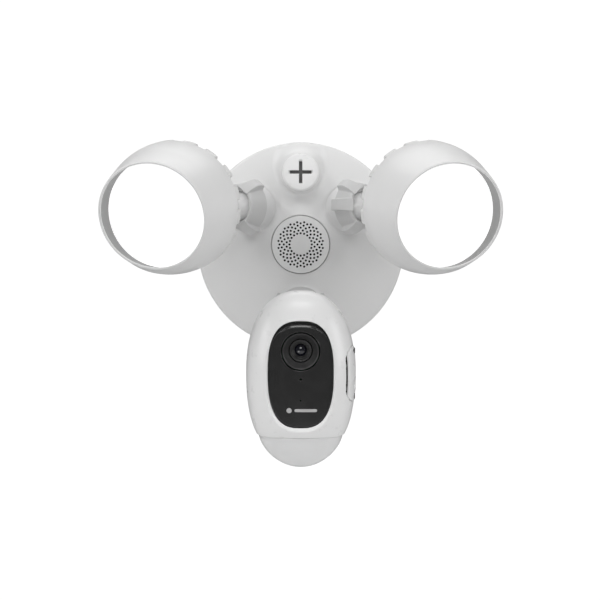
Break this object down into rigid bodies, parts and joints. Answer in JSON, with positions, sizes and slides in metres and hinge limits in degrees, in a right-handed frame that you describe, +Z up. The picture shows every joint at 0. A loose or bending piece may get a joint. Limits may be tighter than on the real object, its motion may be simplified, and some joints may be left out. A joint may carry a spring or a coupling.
{
  "type": "floodlight security camera",
  "caption": "Wall-mounted security camera head and two hooded floodlight lamps, each on a lockable ball joint, on a round domed base with a speaker grille.",
  "frame": {"origin": "centre of the back face, in the wall's plane, on the bracket", "axes": "+Z up, -Y out of the wall towards the viewer, +X to the right seen from the front"},
  "size_m": [0.2844, 0.1523, 0.2454],
  "materials": {
    "white_plastic": "fine matte moulded white",
    "white_metal": "white powder coat",
    "milky_plastic": "milky white, glows evenly",
    "sensor_plastic": "glossy white",
    "black_gloss": "glossy black",
    "black_matte": "matte black",
    "dark_rubber": "matte",
    "grey_rubber": "matte",
    "steel": "zinc plated",
    "circuit_board": "green solder mask",
    "white_board": "white solder mask",
    "reflector": "bright",
    "lens_glass": "coated glass",
    "beige_plastic": "matte"
  },
  "bodies": {
    "base": {"wall_bracket": "steel", "wall_gasket": "grey_rubber", "base_rear_housing": "white_plastic", "base_front_cover": "white_plastic", "mounting_screw_seal": "dark_rubber", "speaker_grille": "white_plastic", "speaker_driver": "black_matte", "power_board": "circuit_board", "terminal_block": "beige_plastic", "cable_grommet": "dark_rubber", "cover_screw_left": "steel", "cover_screw_right": "steel", "left_lamp_socket_seat": "black_matte", "left_lamp_friction_ring": "white_plastic", "right_lamp_socket_seat": "black_matte", "right_lamp_friction_ring": "white_plastic", "camera_socket_seat": "black_matte", "camera_friction_ring": "white_plastic"},
    "large_screw": {"mounting_screw": "white_plastic"},
    "left_lamp_nut": {"left_lamp_lock_nut": "white_plastic"},
    "left_lamp_ball_core": {"left_lamp_cable_bead": "dark_rubber"},
    "left_lamp_stem": {"left_lamp_ball_stem": "white_plastic"},
    "left_lamp": {"left_lamp_hood": "white_plastic", "left_lamp_heat_sink": "white_metal", "left_lamp_diffuser": "milky_plastic", "left_lamp_diffuser_gasket": "grey_rubber", "left_lamp_reflector": "reflector", "left_lamp_led_board": "white_board", "left_lamp_stem_screw": "steel"},
    "right_lamp_nut": {"right_lamp_lock_nut": "white_plastic"},
    "right_lamp_ball_core": {"right_lamp_cable_bead": "dark_rubber"},
    "right_lamp_stem": {"right_lamp_ball_stem": "white_plastic"},
    "right_lamp": {"right_lamp_hood": "white_plastic", "right_lamp_heat_sink": "white_metal", "right_lamp_diffuser": "milky_plastic", "right_lamp_diffuser_gasket": "grey_rubber", "right_lamp_reflector": "reflector", "right_lamp_led_board": "white_board", "right_lamp_stem_screw": "steel"},
    "camera_nut": {"camera_lock_nut": "white_plastic"},
    "camera_ball_core": {"camera_cable_bead": "dark_rubber"},
    "camera_stem": {"camera_ball_stem": "white_plastic"},
    "camera_head": {"camera_front_shell": "white_plastic", "camera_rear_shell": "white_plastic", "camera_shell_seal": "grey_rubber", "camera_window": "black_gloss", "lens_bezel": "black_gloss", "lens_barrel": "black_matte", "lens_glass": "lens_glass", "image_sensor_board": "circuit_board", "camera_main_board": "circuit_board", "memory_card": "black_matte", "motion_sensor_lens": "sensor_plastic", "motion_sensor": "circuit_board", "card_cover": "white_plastic", "card_cover_gasket": "dark_rubber", "card_cover_screw_upper": "steel", "card_cover_screw_lower": "steel", "camera_stem_screw": "steel"},
    "reset_button": {"reset_button": "white_plastic"}
  },
  "joints": [
    {"name": "mounting_screw_turn", "type": "hinge", "parent": "base", "child": "large_screw", "pos_m": [0, -0.033, 0.055], "axis": [0, -1, 0], "range_deg": [0, 360]},
    {"name": "left_lamp_nut_turn", "type": "hinge", "parent": "base", "child": "left_lamp_nut", "pos_m": [-0.043, -0.047, 0.028], "axis": [-0.6428, -0.766, 0], "range_deg": [0, 120]},
    {"name": "left_lamp_pan", "type": "hinge", "parent": "base", "child": "left_lamp_ball_core", "pos_m": [-0.043, -0.047, 0.028], "axis": [0, 0, 1], "range_deg": [-5, 30]},
    {"name": "left_lamp_tilt", "type": "hinge", "parent": "left_lamp_ball_core", "child": "left_lamp_stem", "pos_m": [-0.043, -0.047, 0.028], "axis": [-0.5402, 0.8415, 0], "range_deg": [-14, 14]},
    {"name": "left_lamp_roll", "type": "hinge", "parent": "left_lamp_stem", "child": "left_lamp", "pos_m": [-0.043, -0.047, 0.028], "axis": [-0.8415, -0.5402, 0], "range_deg": [-30, 30]},
    {"name": "right_lamp_nut_turn", "type": "hinge", "parent": "base", "child": "right_lamp_nut", "pos_m": [0.043, -0.047, 0.028], "axis": [0.6428, -0.766, 0], "range_deg": [0, 120]},
    {"name": "right_lamp_pan", "type": "hinge", "parent": "base", "child": "right_lamp_ball_core", "pos_m": [0.043, -0.047, 0.028], "axis": [0, 0, -1], "range_deg": [-5, 30]},
    {"name": "right_lamp_tilt", "type": "hinge", "parent": "right_lamp_ball_core", "child": "right_lamp_stem", "pos_m": [0.043, -0.047, 0.028], "axis": [-0.5402, -0.8415, 0], "range_deg": [-14, 14]},
    {"name": "right_lamp_roll", "type": "hinge", "parent": "right_lamp_stem", "child": "right_lamp", "pos_m": [0.043, -0.047, 0.028], "axis": [0.8415, -0.5402, 0], "range_deg": [-30, 30]},
    {"name": "camera_nut_turn", "type": "hinge", "parent": "base", "child": "camera_nut", "pos_m": [0, -0.045, -0.0515], "axis": [0, -1, 0], "range_deg": [0, 120]},
    {"name": "camera_pan", "type": "hinge", "parent": "base", "child": "camera_ball_core", "pos_m": [0, -0.045, -0.0515], "axis": [0, 0, 1], "range_deg": [-18, 18]},
    {"name": "camera_tilt", "type": "hinge", "parent": "camera_ball_core", "child": "camera_stem", "pos_m": [0, -0.045, -0.0515], "axis": [1, 0, 0], "range_deg": [-12, 16]},
    {"name": "camera_roll", "type": "hinge", "parent": "camera_stem", "child": "camera_head", "pos_m": [0, -0.045, -0.0515], "axis": [0, -1, 0], "range_deg": [-15, 15]},
    {"name": "reset_button_press", "type": "slide", "parent": "camera_head", "child": "reset_button", "axis": [-1, 0, 0], "range_m": [0, 0.0006], "stiffness_N_per_m": 400, "springref_m": -0.0005}
  ]
}
